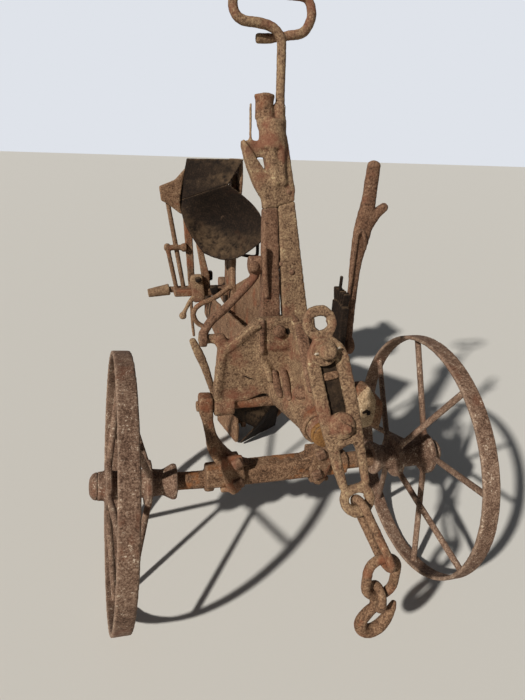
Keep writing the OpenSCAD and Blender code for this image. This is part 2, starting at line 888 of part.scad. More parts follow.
// Draft hook with its eye round the foot of the ring
module draft_hook() {
    path = curve([
        [0, 0, -24], [-14, 0, -38], [-25, 0, -60], [-21, 0, -80], [-5, 0, -90],
        [14, 0, -83], [27, 0, -62], [34, 0, -38], [37, 0, -20]
    ], 4);
    n = len(path) - 1;
    thick = [for (i = [0 : n]) let (u = i / n) hook_d / 2 - 1 + 4 * sin(160 * u) - 6 * pow(u, 4)];
    color(rust)
        chain_frame()
            translate(hook_mid) {
                bent_bar(path, [0, 1, 0], thick, 12);
                rotate([0, 90, 0])
                    rotate_extrude($fn = 32)
                        translate([hook_eye, 0])
                            circle(r = hook_wire, $fn = 16);
            }
}

// Bronze washer between the barrel and the shoulder of the nose
module nose_washer() {
    color("#8f6a2f")
        beam_frame()
            translate([0, 6, 0])
                rotate([-90, 0, 0])
                    difference() {
                        cylinder(h = 7.7, r = nose_r + 6);
                        translate([0, 0, -1])
                            cylinder(h = 10, r = nose_r + 0.4);
                    }
}

// Beam: round nose in the barrel, a deep flat bar with a rising web, and the flank plate on its left
module beam() {
    nose_len = 290;
    bar_from = 268;
    web_t = 12;
    flank_turn = 3;
    web = [[400, 0], [400, 242], [985, beam_h / 2], [985, 0]];
    flank = [[-50, 77], [510, 35], [510, -45], [-50, -95]];
    // Start across, start along and height of each spacer between the beam and its flank plate
    spacers = [[-62, 404, 60], [-76, 690, 48]];
    color(rust)
        beam_frame()
            difference() {
                union() {
                    rotate([-90, 0, 0])
                        cylinder(h = nose_len, r = nose_r);
                    rotate([-90, 0, 0])
                        cylinder(h = 5.5, r = nose_r + 3);
                    translate([0, 251, 0])
                        rotate([-90, 0, 0])
                            cylinder(h = 22, r = nose_r + 26);
                    translate([-beam_t / 2, bar_from, -beam_h / 2])
                        cube([beam_t, beam_len - bar_from, beam_h]);
                    translate([-beam_t / 2, 0, 0])
                        rotate([90, 0, 90])
                            linear_extrude(web_t)
                                polygon(web);
                    translate([-59 - web_t, 450, 0])
                        rotate([0, 0, flank_turn])
                            rotate([90, 0, 90])
                                linear_extrude(web_t)
                                    polygon(flank);
                    for (b = spacers)
                        translate([b[0], b[1], -b[2] / 2])
                            cube([-b[0], 34, b[2]]);
                }
                translate([0, -10, 0])
                    rotate([-90, 0, 0])
                        cylinder(h = 40, r = 4);
                translate([-beam_t, beam_len - handle_back, 0])
                    rotate([0, 90, 0])
                        cylinder(h = 2 * beam_t, r = handle_r + 0.05);
            }
}

// Grid point of a four-cornered patch
function patch(a, b, c, d, u, v) =
    (1 - u) * (1 - v) * a + u * (1 - v) * b + u * v * c + (1 - u) * v * d;

// Mouldboard of a body whose sole is up: corners at the share and at the beam side
board_rear_share = [-180, 900, 345];
board_front_share = [-50, 760, 402];
board_front_top = [49, 704, 254];
board_rear_top = [-116, 820, 194];
board_bowl = 62;
board_sag = 40;
board_shin = 26;
board_nu = 14;
board_nv = 10;
board_rows = [
    for (j = [0 : board_nv])
        [for (i = [0 : board_nu])
            let (u = i / board_nu, v = j / board_nv)
                patch(board_rear_share, board_front_share, board_front_top, board_rear_top, u, v)
                + [board_shin * sin(180 * v) * (2 * u - 0.6), board_bowl * sin(180 * u) * sin(180 * v),
                   -board_sag * sin(180 * u) * v]]
];

// Share: cutting edge on the sole, upper edge under the mouldboard
share_edge_rear = [-156, point_y + 100, sole_h - 3];
share_edge_point = [-2, point_y, sole_h];
share_lift = [0, 0, 0.3];
share_rows = [
    for (j = [0 : 2])
        [for (i = [0 : 2])
            patch(share_edge_rear, share_edge_point, board_front_share + share_lift,
                board_rear_share + share_lift, i / 2, j / 2)]
];

// Rows moved back by one thickness less the reach of a cut in front of them
function moved(rows, d) = [for (row = rows) [for (p = row) p + d]];

// Everything in front of the backs of the mouldboard and share
module front_cut() {
    reach = 220;
    thick_sheet(moved(board_rows, [0, board_t - reach, 0]), [0, reach, 0]);
    thick_sheet(moved(share_rows, [0, share_t - reach, 0]), [0, reach, 0]);
}

module mouldboard() {
    color(rust_dark)
        thick_sheet(board_rows, [0, board_t, 0]);
}

module share() {
    color(rust_dark)
        thick_sheet(share_rows, [0, share_t, 0]);
}

// Landside: upright plate that runs back from the share's point, splayed off the beam
module landside(splay) {
    outline = [
        [point_y + 12, sole_h], [heel_y, sole_h], [heel_y + 8, sole_h - 52],
        [point_y + 120, sole_h - 150], [point_y + 40, sole_h - 168], [point_y + 6, sole_h - 60]
    ];
    spacer = [30, 40, 44];
    color(rust)
        difference() {
            union() {
                translate([splay > 0 ? 0 : -beam_t / 2, point_y, 0])
                    rotate([0, 0, -splay])
                        translate([0, -point_y, 0])
                            rotate([90, 0, 90])
                                linear_extrude(side_t)
                                    polygon(outline);
                if (splay > 0)
                    translate([-beam_t / 2, point_y + 44, sole_h - 102])
                        cube(spacer);
            }
            front_cut();
        }
}

// Two standards on the beam's left face: the front one spreads into the frog of the body
module standards() {
    front_y = point_y + 34;
    rear_y = point_y + 104;
    top_z = sole_h - 40;
    front = [
        [front_y, -beam_h / 2], [front_y + standard_w, -beam_h / 2], [front_y + standard_w, top_z],
        [front_y + 8, top_z], [front_y - 8, top_z - 50], [front_y - 70, 340], [front_y - 64, 262],
        [front_y, 210]
    ];
    rear = [
        [rear_y, -beam_h / 2], [rear_y + standard_w, -beam_h / 2], [rear_y + standard_w, top_z - 40],
        [rear_y, top_z - 40]
    ];
    color(rust)
        difference() {
            for (outline = [front, rear])
                translate([-beam_t / 2 - standard_t, 0, 0])
                    rotate([90, 0, 90])
                        linear_extrude(standard_t)
                            polygon(outline);
            front_cut();
        }
}

// Brace rods on the open side of a body, from a cross arm up to the mouldboard
module braces() {
    r = brace_d / 2;
    arm_y = point_y + 104;
    rods = [
        [[-216, arm_y + 20, 340], [-172, arm_y + 20, 60]],
        [[-224, arm_y + 10, 212], [-196, arm_y + 10, 60]]
    ];
    strap = [[-128, 236], [-116, 170], [-104, 110], [-100, 60]];
    stay_z = 280;
    color(rust_light)
        difference() {
            union() {
                for (b = rods)
                    round_bar(b[0], b[1], r);
                translate([-232, arm_y + 10, 200])
                    rotate([0, 90, 0])
                        cylinder(h = 62, r = 8);
                translate([-176, arm_y + 10, 200])
                    rotate([0, 90, 0])
                        cylinder(h = 14, r = 14, $fn = 6);
                translate([0, arm_y + 24, 0])
                    rotate([90, 0, 0])
                        linear_extrude(8)
                            polygon([[-170, 300], [-144, 300], [-134, 60], [-156, 60]]);
                translate([0, arm_y - 8, 0])
                    rotate([90, 0, 0])
                        linear_extrude(10)
                            polygon(strip(strap, [16, 20, 26, 22]));
                translate([-206, arm_y - 22, 46])
                    cube([206 - beam_t / 2 - standard_t, 62, 22]);
                translate([-152, arm_y - 60, stay_z])
                    rotate([-90, 0, 0])
                        cylinder(h = 84, r = 6);
            }
            front_cut();
        }
}

// Plate that widens a body beyond its wing
module side_plate() {
    back = 12;
    plate_y = 885;
    color(rust)
        difference() {
            translate([0, plate_y + back, 0])
                rotate([90, 0, 0])
                    linear_extrude(back)
                        polygon([
                            [-241, 386], [-194, 405], [-166, 434], [-140, 466], [-140, 320],
                            [-166, 304], [-179, 306], [-218, 336], [-236, 345]
                        ]);
            front_cut();
        }
}

// Bar through the tail of the beam, by which the plough is turned over
handle_r = 11;
handle_back = 40;
module rear_handle() {
    color(rust)
        beam_frame()
            translate([-handle_half + 60, beam_len - handle_back, 0])
                rotate([0, 90, 0])
                    cylinder(h = handle_half - 60 + beam_t / 2 + 14, r = handle_r);
}

// Grip on the end of the handle bar
module handle_grip() {
    color(rust_light)
        beam_frame()
            translate([-handle_half + 60, beam_len - handle_back, 0])
                difference() {
                    rotate([0, -99, 0])
                        translate([0, 0, -4])
                            cylinder(h = 80, r1 = 21, r2 = 15);
                    rotate([0, 90, 0])
                        cylinder(h = 40, r = handle_r);
                }
}

placed() color(rust) at_wheel(-1) wheel();  // left_wheel
placed() color(rust) at_wheel(-1) hub_cap();  // left_hub_cap
placed() color(rust) at_wheel(1) wheel();  // right_wheel
placed() color(rust) at_wheel(1) hub_cap();  // right_hub_cap
placed() axle();
placed() color(rust) stop_arm(-1);  // left_stop_arm
placed() color(rust) stop_arm(1);  // right_stop_arm
placed() clamp_bolts();
placed() cross_rod();
placed() head_casting();
placed() left_leg();
placed() right_leg();
placed() column_head();
placed() guide_tube();
placed() depth_crank();
placed() side_brace();
placed() tilt_quadrant();
placed() tilt_lever();
placed() lever_latch();
placed() draft_bracket();
placed() draft_plate();
placed() draft_bolts();
placed() draft_link();
placed() draft_ring();
placed() draft_hook();
placed() nose_washer();
placed() beam();
placed() beam_frame() standards();  // upper_standards
placed() beam_frame(180) standards();  // lower_standards
placed() beam_frame() mouldboard();  // upper_mouldboard
placed() beam_frame(180) mouldboard();  // lower_mouldboard
placed() beam_frame() share();  // upper_share
placed() beam_frame(180) share();  // lower_share
placed() beam_frame() landside(0);  // upper_landside
placed() beam_frame(180) landside(lower_splay);  // lower_landside
placed() beam_frame() side_plate();  // upper_side_plate
placed() beam_frame(180) side_plate();  // lower_side_plate
placed() beam_frame() braces();  // upper_braces
placed() beam_frame(180) braces();  // lower_braces
placed() rear_handle();
placed() handle_grip();
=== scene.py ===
"""Dresses the turn-over wheel plough: rusted iron on every solid, finer pieces where the solids are plain,
the stage, and a camera at the photograph's angle."""

import json
import math

import bmesh
import bpy
import numpy as np
from mathutils import Matrix, Vector


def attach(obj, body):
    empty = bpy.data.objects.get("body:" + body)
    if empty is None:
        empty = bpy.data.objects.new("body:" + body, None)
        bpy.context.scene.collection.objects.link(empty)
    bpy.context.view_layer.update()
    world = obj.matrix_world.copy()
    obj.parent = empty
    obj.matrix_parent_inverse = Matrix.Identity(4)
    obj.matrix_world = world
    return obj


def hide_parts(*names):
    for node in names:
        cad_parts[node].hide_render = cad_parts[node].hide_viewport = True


bl_info = {
    "name": "Turn-over wheel plough",
    "version": (1, 0, 0),
    "blender": (4, 5, 0),
    "location": "3D View > Sidebar > Plough",
    "description": "Rusted turn-over plough around its packed solids",
    "category": "Object",
}

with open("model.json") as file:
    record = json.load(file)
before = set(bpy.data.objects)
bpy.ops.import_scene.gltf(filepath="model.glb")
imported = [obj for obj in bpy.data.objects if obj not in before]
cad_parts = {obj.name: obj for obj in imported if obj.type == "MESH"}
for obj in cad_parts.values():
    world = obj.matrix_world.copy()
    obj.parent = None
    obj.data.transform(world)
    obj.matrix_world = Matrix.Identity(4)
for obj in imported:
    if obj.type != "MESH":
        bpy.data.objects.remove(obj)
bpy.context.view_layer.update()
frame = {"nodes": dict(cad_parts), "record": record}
NODES = frame["nodes"]
BODIES = frame["record"]["behaviour"]["bodies"]
BODY_OF = {name: body for body, names in BODIES.items() for name in names}
SLOT_OF = {part["node"]: part["material_slot"] for part in frame["record"]["subparts"]}
MATERIALS = {}
TEXTURES = {}
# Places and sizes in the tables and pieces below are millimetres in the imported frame
MM = 0.001
# Points that are nearer than this are one, in metres: those of the solids, and those of new shapes
SOLID_MERGE, SHAPE_MERGE = 1e-6, 1e-7


# Finishes


def linear(code):
    """sRGB hex to linear RGBA: c / 12.92 below 0.04045, else ((c + 0.055) / 1.055) ** 2.4."""
    c = np.array([int(code[i : i + 2], 16) for i in (1, 3, 5)]) / 255
    c = np.where(c <= 0.04045, c / 12.92, ((c + 0.055) / 1.055) ** 2.4)
    return (*c.tolist(), 1.0)


def node(tree, kind, *inputs, **settings):
    """Adds one shader node. settings are its own properties. inputs are pairs of a socket's name or number
    and what goes in: a number, a colour or the output of another node."""
    n = tree.nodes.new("ShaderNode" + kind)
    for name, value in settings.items():
        setattr(n, name, value)
    for socket, value in inputs:
        if isinstance(value, bpy.types.NodeSocket):
            tree.links.new(value, n.inputs[socket])
        else:
            n.inputs[socket].default_value = value
    return n


# Noises of old iron: size of a grain in mm, detail, roughness, and where in the noise the pattern starts
NOISES = {
    "powder": (1.8, 3, 0.75, (0, 0, 0)),
    "grain": (9, 4, 0.65, (3.1, 1.7, 5.3)),
    "drift": (60, 4, 0.6, (7.7, 2.9, 0.4)),
    "patches": (38, 5, 0.65, (1.3, 8.8, 2.2)),
    "specks": (2.4, 2, 0.6, (9.2, 4.4, 6.1)),
}
# How much three of them count in the tone, and where on their sum the dark, middle and light tones stand
TONE_WEIGHTS = {"drift": 0.16, "grain": 0.22, "powder": 0.62}
TONE_STOPS = (0.38, 0.5, 0.61)
# Colour of the dust that settles on what faces up, and of the light painted on those upward faces
DUST_AND_LIGHT = "#68543f"
# Height of the roughness that the bump shows, in mm, and how much the grain counts in it beside the powder
RELIEF, GRAIN_RELIEF = 1.1, 1.5


def rusted_iron(name, tones, fresh, flecks, rough=0.88, rubbed=0.35, dust_and_light=0.0):
    """Iron after years in the open. The weighted sum of three noises runs through its dark, middle and
    light tones. Over them lie patches of fresh rust and pale flecks of lichen, each given as its colour and
    how far it spreads. The mesh's pointiness rubs edges lighter and darkens hollows, which is painted
    shade.
    Dust and painted light lighten what faces up at rest. It has no sheen."""
    m = bpy.data.materials.new(name)
    m.use_nodes = True
    t = m.node_tree
    t.nodes.clear()
    coords = node(t, "TexCoord").outputs
    noise = {}
    for pattern, (size, detail, roughness, start) in NOISES.items():
        mapped = node(t, "Mapping", ("Vector", coords["Object"]), ("Location", start)).outputs["Vector"]
        # A period of the noise is two grains
        scale = 1 / (2 * size * MM)
        sockets = ("Vector", mapped), ("Scale", scale), ("Detail", detail), ("Roughness", roughness)
        noise[pattern] = node(t, "TexNoise", *sockets).outputs["Fac"]
    tone = 0.0
    for pattern, weight in TONE_WEIGHTS.items():
        sockets = (0, noise[pattern]), (1, weight), (2, tone)
        tone = node(t, "Math", *sockets, operation="MULTIPLY_ADD").outputs["Value"]
    ramp = node(t, "ValToRGB", ("Fac", tone))
    ramp.color_ramp.elements.new(TONE_STOPS[1])
    for element, position, code in zip(ramp.color_ramp.elements, TONE_STOPS, tones):
        element.position = position
        element.color = linear(code)
    colour = ramp.outputs["Color"]

    (fresh_colour, fresh_spread), (fleck_colour, fleck_spread) = fresh, flecks
    fleck_ground = (noise["grain"], 0.62 - fleck_spread, 0.7 - fleck_spread)
    point = node(t, "NewGeometry").outputs["Pointiness"]
    # Colour, strength, and ranges as source, value where the layer starts and value where it is full
    layers = [
        (fresh_colour, 0.75, [(noise["patches"], 0.66 - fresh_spread, 0.78 - fresh_spread)]),
        (fleck_colour, 1.0, [(noise["specks"], 0.56, 0.66), fleck_ground]),
        (fleck_colour, rubbed, [(point, 0.52, 0.6)]),
        # Painted shade: hollows, where pointiness is low, darken towards the dark tone
        (tones[0], 0.8, [(point, 0.49, 0.42)]),
    ]
    # Dust and painted light: what faces up at rest is lightened towards one pale colour
    if dust_and_light:
        upward = node(t, "SeparateXYZ", ("Vector", coords["Normal"])).outputs["Z"]
        layers.append((DUST_AND_LIGHT, dust_and_light, [(upward, 0.2, 0.9), (noise["grain"], 0.35, 0.6)]))
    for code, strength, ranges in layers:
        for source, start, full in ranges:
            sockets = ("Value", source), ("From Min", start), ("From Max", full), ("To Max", strength)
            strength = node(t, "MapRange", *sockets).outputs["Result"]
        # The Mix node's sockets for colour: 0 is the factor, 6 and 7 the colours, and output 2 the result
        colour = node(t, "Mix", (0, strength), (6, colour), (7, linear(code)), data_type="RGBA").outputs[2]

    sockets = (0, noise["grain"]), (1, GRAIN_RELIEF), (2, noise["powder"])
    height = node(t, "Math", *sockets, operation="MULTIPLY_ADD").outputs["Value"]
    sockets = ("Height", height), ("Strength", 0.7), ("Distance", RELIEF * MM)
    bump = node(t, "Bump", *sockets).outputs["Normal"]
    sockets = ("Base Color", colour), ("Roughness", rough), ("Specular IOR Level", 0.15), ("Normal", bump)
    shader = node(t, "BsdfPrincipled", *sockets).outputs["BSDF"]
    node(t, "OutputMaterial", ("Surface", shader))
    MATERIALS[name] = m


def make_materials(settings):
    """Makes a finish for each slot of the record, and more for small pieces and nodes with another rust,
    some of which hold painted shade or light.
    """
    brown = ("#34251b", "#6e533f", "#94785e")
    # Wheel rims, spokes and hubs: even brown rust with fine pale dust
    wheel = ("#38281f", settings.wheel_colour, "#957d6a")
    rusted_iron("wheel_rust", wheel, ("#6a4433", 0.08), ("#bcab97", 0.1))
    # Forged bars and arms: darker, redder rust
    rusted_iron("forged_rust", brown, ("#76452f", 0.12), ("#a48d72", 0.05))
    # Cast head, legs and draft plate: ochre lichen on brown rust
    casting = ("#38271c", settings.casting_colour, "#9c8365")
    rusted_iron("pale_casting", casting, ("#714636", 0.15), ("#aa9877", 0.06))
    # Shares, mouldboards and the quadrant's case: almost black old paint and rust, with settled dust and
    # painted light on what faces up
    black = ("#0d0906", "#1a120c", "#31251c")
    rusted_iron("dark_rust", black, ("#2e1c12", 0.06), ("#5a4838", 0.0), rubbed=0.1, dust_and_light=0.75)
    # Axle bar: brown rust with fresh orange where the clamps rub and water runs
    rusted_iron("orange_rust", brown, ("#96592a", 0.13), ("#a48d72", 0.05))
    # Left leg, levers and straps: red-brown scale with little dust on it, which on the left leg is painted
    # shade: a darker rust than its casting's
    scale = ("#33241b", "#684c3b", "#876a54")
    rusted_iron("red_scale_and_shade", scale, ("#704635", 0.1), ("#99836e", 0.03))
    # Broken face of the right stop: dry pale casting, no red in it, made paler still by painted light as if
    # the sun fell full on it
    pale_lit = ("#665440", "#a2896c", "#c2ab8c")
    rusted_iron("pale_lit_casting", pale_lit, ("#8e7053", 0.05), ("#d0bea2", 0.1))
    # Washer and disc in front of the barrel: bronze under brown dirt
    bronze = ("#49331f", "#765330", "#8b673c")
    rusted_iron("bronze", bronze, ("#835127", 0.1), ("#9b7f4e", 0.04), rough=0.7)
    # Split pin: bare weathered steel
    steel = ("#5c5348", "#9a8d7c", "#c9beac")
    rusted_iron("pale_steel", steel, ("#8a6548", 0.08), ("#d8cdbb", 0.1), rough=0.6)


class PloughSettings(bpy.types.PropertyGroup):
    """Sizes and colours of the plough's finish, and its light."""

    wheel_colour: bpy.props.StringProperty(
        name="Wheel rust",
        description="Middle tone of the rust on the wheels, as sRGB hex",
        default="#6c5445",
    )
    casting_colour: bpy.props.StringProperty(
        name="Casting rust",
        description="Middle tone of the rust on the castings, as sRGB hex",
        default="#785f4a",
    )
    wear_grain: bpy.props.FloatProperty(
        name="Wear grain",
        description="Side of the cells that worn edges are rounded by",
        default=0.003,
        unit="LENGTH",
    )
    pit_depth: bpy.props.FloatProperty(
        name="Pit depth",
        description="Depth of the pitting of old iron",
        default=0.0014,
        unit="LENGTH",
    )
    floor_side: bpy.props.FloatProperty(
        name="Floor side",
        description="Side of the square floor",
        default=28.0,
        unit="LENGTH",
    )
    key_power: bpy.props.FloatProperty(
        name="Key strength",
        description="Strength of the key lamp",
        default=4.4,
    )
    sky_power: bpy.props.FloatProperty(
        name="Sky strength",
        description="Strength of the light from all round",
        default=0.09,
    )


# Shapes, each an array of rows of points

# Directions from the plough's front to its back, and back to its front
ALONG = (0, 1, 0)
FRONT = (0, -1, 0)
# A direction that no turned piece stands along, from which its outline is laid out
ASIDE = (0.31, 0.2, 1.0)


def unit(v):
    """Each vector over its length."""
    v = np.asarray(v, float)
    return v / np.linalg.norm(v, axis=-1, keepdims=True)


def bent(v, power):
    """|v| ** power with the sign of v: 1 leaves a circle round, less squares it."""
    return np.sign(v) * np.abs(v) ** power


def angles(count):
    """Equal steps round a circle, without its end."""
    return np.linspace(0, 2 * np.pi, count, endpoint=False)


def ring(count=40):
    """Circle of radius 1 as (count, 2) points: cosine and sine of each angle."""
    a = angles(count)
    return np.stack([np.cos(a), np.sin(a)], 1)


def hexagon(turn=0.0, count=48):
    """Hexagon 1 from centre to flat: the circle over the cosine of the angle to the nearest flat."""
    to_flat = (angles(count) - turn) % (np.pi / 3) - np.pi / 6
    return ring(count) * (1 / np.cos(to_flat))[:, None]


def turned(base, axis, profile, outline=None):
    """Outline carried along an axis: row u stands at base + height(u) * axis and is the outline times
    size(u). profile is (size, height) rows, and a round outline gives a turned piece."""
    outline = ring() if outline is None else outline
    axis = unit(axis)
    side = unit(np.cross(axis, ASIDE))
    up = np.cross(side, axis)
    size, height = np.asarray(profile, float).T
    plane = outline[:, :1] * side + outline[:, 1:] * up
    return np.asarray(base) + height[:, None, None] * axis + size[:, None, None] * plane


def smooth_path(points, count):
    """Catmull-Rom curve: each span blends its four nearest points by the cubic's weights. Columns past the
    third, such as widths, are carried along too."""
    p = np.asarray(points, float)
    p = np.vstack([2 * p[0] - p[1], p, 2 * p[-1] - p[-2]])
    t = np.linspace(0, len(points) - 1 - 1e-9, count)
    i = t.astype(int)
    t = (t - i)[:, None]
    a, b, c, d = p[i], p[i + 1], p[i + 2], p[i + 3]
    square, cube = 2 * a - 5 * b + 4 * c - d, 3 * b - a - 3 * c + d
    return 0.5 * (2 * b + (c - a) * t + square * t**2 + cube * t**3)


def bar(points, facing=ALONG, square=0.75, count=36, around=16):
    """Forged bar: rows of points are x, y, z, half width, half depth. A superellipse is carried along the
    smooth curve, with its depth towards facing, and both ends are rounded by a quarter circle."""
    path = smooth_path(points, count)
    c, w, d = path[:, :3], path[:, 3], path[:, 4]
    step = unit(np.gradient(c, axis=0))
    side = unit(np.cross(step, facing))
    front = np.cross(side, step)
    run = np.concatenate([[0], np.cumsum(np.linalg.norm(np.diff(c, axis=0), axis=1))])
    near = np.minimum(run, run[-1] - run) / np.minimum(w, d).mean()
    end = np.sqrt(1 - (1 - np.clip(near, 0.01, 1)) ** 2)
    a = angles(around)
    across = bent(np.cos(a), square)[None, :, None] * side[:, None] * (w * end)[:, None, None]
    through = bent(np.sin(a), square)[None, :, None] * front[:, None] * (d * end)[:, None, None]
    return c[:, None] + across + through


def rod(points, radius, **form):
    """Bar as thick as it is wide along x, y, z points."""
    return bar([(*point, radius, radius) for point in points], **form)


def pebble(centre, half, axes=((1, 0, 0), (0, 1, 0), (0, 0, 1)), square=0.4, count=20):
    """Rounded block: a superellipsoid, whose points are bent cosines and sines of latitude and longitude
    times the half sizes, along its axes."""
    u = np.linspace(-np.pi / 2, np.pi / 2, count)[:, None]
    v = angles(2 * count)[None, :]
    local = np.stack(
        [
            bent(np.cos(u), square) * bent(np.cos(v), square),
            bent(np.cos(u), square) * bent(np.sin(v), square),
            bent(np.sin(u), square) * np.ones_like(v),
        ],
        -1,
    )
    return np.asarray(centre) + (local * half) @ unit(axes)


def leaning(slope):
    """Axes of a block turned in the x-z plane: the first rises by slope, the third leans by as much."""
    return ((1, 0, slope), (0, 1, 0), (-slope, 0, 1))


def closed_mesh(name, shapes):
    """Mesh of rows-by-columns shapes: quads between neighbours, columns joined round, both ends closed."""
    verts, faces, start = [], [], 0
    for rows in shapes:
        n, m = rows.shape[:2]
        i = start + np.arange(n * m).reshape(n, m)
        j = np.roll(i, -1, axis=1)
        quads = np.stack([i[:-1], j[:-1], j[1:], i[1:]], -1).reshape(-1, 4)
        faces += quads.tolist() + [i[0][::-1].tolist(), i[-1].tolist()]
        verts.append(rows.reshape(-1, 3) * MM)
        start += n * m
    mesh = bpy.data.meshes.new(name)
    mesh.from_pydata(np.vstack(verts).tolist(), [], faces)
    bm = bmesh.new()
    bm.from_mesh(mesh)
    bmesh.ops.remove_doubles(bm, verts=bm.verts, dist=SHAPE_MERGE)
    bmesh.ops.recalc_face_normals(bm, faces=bm.faces)
    bm.to_mesh(mesh)
    bm.free()
    mesh.shade_smooth()
    return mesh


# Pieces and their wear

PITS, LUMPS = "pits", "lumps"
# What smoothing takes off a wall and this gives back, in mm
SWELL = 0.7


def clouds(name, size):
    """Soft noise that a Displace modifier reads: humps about size mm across."""
    t = bpy.data.textures.new(name, "CLOUDS")
    t.noise_scale = size * MM
    t.noise_depth = 2
    return t


def wear(obj, cell, rounds, pit, lumps):
    """Wears a piece's corners round: one skin of cells over all its shapes, smoothed that many rounds,
    then pitted and made a little uneven. cell and pit are shares of the settings, lumps are in mm."""
    settings = bpy.context.scene.plough
    skin = obj.modifiers.new("skin", "REMESH")
    skin.mode = "VOXEL"
    skin.voxel_size = cell * settings.wear_grain
    skin.use_smooth_shade = True
    soft = obj.modifiers.new("soften", "SMOOTH")
    soft.factor = 0.6
    soft.iterations = rounds
    for label, depth in ((PITS, pit * settings.pit_depth), (LUMPS, lumps * MM)):
        d = obj.modifiers.new(label, "DISPLACE")
        d.texture = TEXTURES[label]
        d.texture_coords = "LOCAL"
        d.strength = depth
        d.mid_level = 0.5
    swell = obj.modifiers.new("swell", "DISPLACE")
    swell.strength = SWELL * MM
    swell.mid_level = 0


def place(name, mesh, material, carrier, replaces=()):
    """Puts a mesh in the scene with the given finish: it rides with the CAD node that carries it."""
    obj = bpy.data.objects.new(name, mesh)
    bpy.context.scene.collection.objects.link(obj)
    mesh.materials.clear()
    mesh.materials.append(MATERIALS[material])
    if replaces:
        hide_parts(*replaces)
    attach(obj, BODY_OF[carrier])
    return obj


def new_piece(name, shapes, material, carrier, replaces=(), worn=None):
    """Puts several shapes in the scene as one piece, with the cell, rounds, pit and lumps of its wear."""
    obj = place(name, closed_mesh(name, shapes), material, carrier, replaces)
    if worn:
        wear(obj, *worn)


# Worn copies of the solids

# How worn each slot's nodes are: cell, rounds, pit and lumps, as wear takes them
WEAR = {
    "wheel_rust": (0.97, 3, 0.4, 0.4),
    "forged_rust": (0.9, 5, 0.7, 1.2),
    "pale_casting": (0.85, 6, 0.9, 1.6),
    "dark_rust": (0.9, 1, 0.3, 0.5),
    "bronze": (0.5, 2, 0.5, 0.3),
}
# Smoothing rounds of castings and forgings that are rounder than the rest of their slot
ROUNDS = {
    "head_casting": 14,
    "column_head": 9,
    "left_stop_arm": 12,
    "right_stop_arm": 12,
    "draft_plate": 9,
}
# Cells of large plain nodes, which can be wider, and of the quadrant's thin case, as shares of the setting
CELLS = {
    "beam": 1.32,
    "upper_standards": 1.28,
    "lower_standards": 1.28,
    "head_casting": 0.98,
    "tilt_quadrant": 0.62,
}
# Nodes whose finish differs from their slot's
FINISH = {
    "axle": "orange_rust",
    # Painted shade: the left leg takes the darker red-brown rust as if it stood in shade
    "left_leg": "red_scale_and_shade",
    "side_brace": "red_scale_and_shade",
    "clamp_bolts": "red_scale_and_shade",
}
# Nodes whose shape is drawn anew further down
REBUILT = ("tilt_lever", "draft_bolts", "lever_latch")

# y of the head plate's front face
HEAD_FACE = -296
# The draft plate's middle, and unit vectors across, through and up it
DRAFT_FRAME = np.array(
    [
        (33, -550, 572),
        (0.9816, 0, 0.1908),
        (0.0715, 0.9272, -0.3677),
        (-0.1769, 0.3746, 0.9102),
    ]
)


def low_edges(p):
    """Head casting: what stands proud of the plate's face beside the barrel keeps 0.22 of its height."""
    x, y, z = p.T
    edge = (y < HEAD_FACE) & (z > 500) & (z < 690) & ((x < -62) | (x > 70))
    return np.stack([x, np.where(edge, HEAD_FACE + (y - HEAD_FACE) * 0.22, y), z], 1)


def wide_slots(p):
    """Draft plate: the walls of its slots, within 12.5 of its middle line and 9 of its middle plane, move
    apart by 0.36 of their distance. Its side bars keep their outer edges."""
    origin, across, through, _ = DRAFT_FRAME
    q = p - origin
    side = q @ across
    wall = (np.abs(side) < 12.5) & (np.abs(q @ through) < 9)
    return p + np.where(wall, side * 0.36, 0)[:, None] * across


def high_loop(p):
    """Depth crank: the lower bars of its loop rise by 18, the rod below stretches, the sides shorten."""
    x, y, z = p.T
    heights, rises = (1110, 1165, 1226, 1264), (0, 18, 18, 0)
    return np.stack([x, y, z + np.interp(z, heights, rises)], 1)


RESHAPE = {"head_casting": low_edges, "draft_plate": wide_slots, "depth_crank": high_loop}

# Raised forms of the head that the worn skin joins to it
BOLT_PAD = pebble((-19, -296, 652), (29, 5, 35), square=0.35)
UPRIGHT_RIDGE = bar([(-57, -297, 690, 6, 6), (-56, -297, 652, 6, 7), (-54, -297, 608, 6, 6)])
FILLET = bar([(-60, -297, 606, 6, 4), (-42, -299, 576, 7, 5), (-33, -310, 545, 7, 6)], (0, 1, 0.3))
WEB_BOSS = turned((2, -398, 566), (-1, -0.5, 0.3), [(14, -10), (14, 4), (11, 9), (5, 11), (0.1, 11)])

# Forms of the column head, and the direction of their depth
COLUMN_FACING = (0, 1, 0.1)
TUBE_SKIRT = bar(
    [(-49, -204, 1092, 17, 17), (-47, -207, 1068, 18, 17), (-42, -211, 1036, 17, 17)],
    COLUMN_FACING,
    1,
)
CRANK_SLEEVE = bar(
    [(-19, -206, 1096, 11, 11), (-20, -208, 1070, 12, 12), (-22, -212, 1034, 12, 12)],
    COLUMN_FACING,
    1,
)
LEFT_BAR = bar(
    [(-40, -226, 1034, 9, 9), (-35, -230, 1004, 8, 8), (-29, -233, 974, 8, 8), (-24, -237, 942, 7, 6)],
    COLUMN_FACING,
    0.9,
)
RIGHT_BAR = bar(
    [
        (-22, -222, 1050, 9, 9),
        (-18, -227, 1020, 9, 9),
        (-17, -231, 990, 8, 8),
        (-15, -234, 966, 8, 8),
        (-9, -238, 942, 7, 6),
    ],
    COLUMN_FACING,
    0.9,
)

RAISED = {
    "head_casting": (BOLT_PAD, UPRIGHT_RIDGE, FILLET, WEB_BOSS),
    "column_head": (TUBE_SKIRT, CRANK_SLEEVE, LEFT_BAR, RIGHT_BAR),
}


